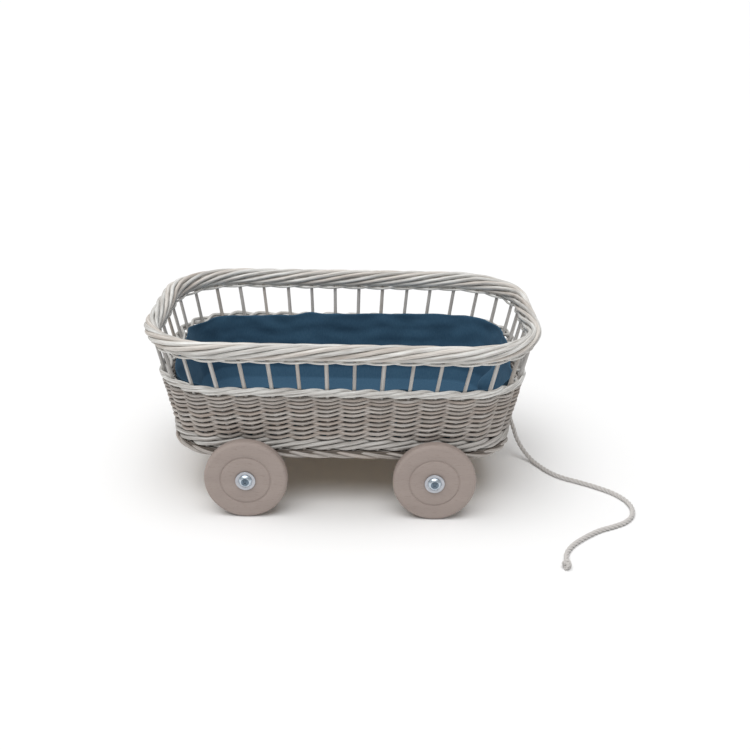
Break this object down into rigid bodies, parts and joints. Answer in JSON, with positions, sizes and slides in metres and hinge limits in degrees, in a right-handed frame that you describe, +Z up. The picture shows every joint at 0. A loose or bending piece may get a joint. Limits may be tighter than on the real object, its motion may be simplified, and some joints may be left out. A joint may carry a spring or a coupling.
{
  "type": "doll wagon",
  "caption": "Pull-along doll wagon: oblong flared willow basket with an open row of stakes, cloth lining, turned wooden wheels on axle bars and a cotton pull rope.",
  "frame": {"origin": "on the floor under the middle of the wagon", "axes": "+X forward, to the end that the rope leaves; +Y to the wagon's left; +Z up"},
  "size_m": [0.6049, 0.4142, 0.225],
  "materials": {
    "willow": "whitewashed peeled willow",
    "plywood": "sanded birch plywood",
    "bar_wood": "planed pine",
    "wheel_wood": "turned beech with a grey stain",
    "zinc": "zinc plated",
    "lining_cloth": "plain woven cotton, denim blue",
    "rope_cotton": "twisted cotton"
  },
  "bodies": {
    "wagon": {"foot_border": "willow", "lower_wale": "willow", "woven_wall": "willow", "upper_wale": "willow", "rim_pairing": "willow", "rim_border": "willow", "stakes_front": "willow", "stakes_rear": "willow", "stakes_left": "willow", "stakes_right": "willow", "stakes_front_left": "willow", "stakes_front_right": "willow", "stakes_rear_left": "willow", "stakes_rear_right": "willow", "base_board": "plywood", "cloth_lining": "lining_cloth", "front_axle_bar": "bar_wood", "rear_axle_bar": "bar_wood", "bar_screws": "zinc", "axle_screws": "zinc", "cup_washers": "zinc", "outer_washers": "zinc", "inner_washers": "zinc", "pull_rope": "rope_cotton", "rope_stop_knot": "rope_cotton", "rope_end_knot": "rope_cotton"},
    "wheel_front_left": {"wheel_front_left": "wheel_wood"},
    "wheel_front_right": {"wheel_front_right": "wheel_wood"},
    "wheel_rear_left": {"wheel_rear_left": "wheel_wood"},
    "wheel_rear_right": {"wheel_rear_right": "wheel_wood"}
  },
  "joints": [
    {"name": "wheel_front_left_spin", "type": "hinge", "parent": "wagon", "child": "wheel_front_left", "pos_m": [0.113, 0.1418, 0.05], "axis": [0, 1, 0], "continuous": true},
    {"name": "wheel_front_right_spin", "type": "hinge", "parent": "wagon", "child": "wheel_front_right", "pos_m": [0.113, -0.1418, 0.05], "axis": [0, 1, 0], "continuous": true},
    {"name": "wheel_rear_left_spin", "type": "hinge", "parent": "wagon", "child": "wheel_rear_left", "pos_m": [-0.113, 0.1418, 0.05], "axis": [0, 1, 0], "continuous": true},
    {"name": "wheel_rear_right_spin", "type": "hinge", "parent": "wagon", "child": "wheel_rear_right", "pos_m": [-0.113, -0.1418, 0.05], "axis": [0, 1, 0], "continuous": true}
  ]
}
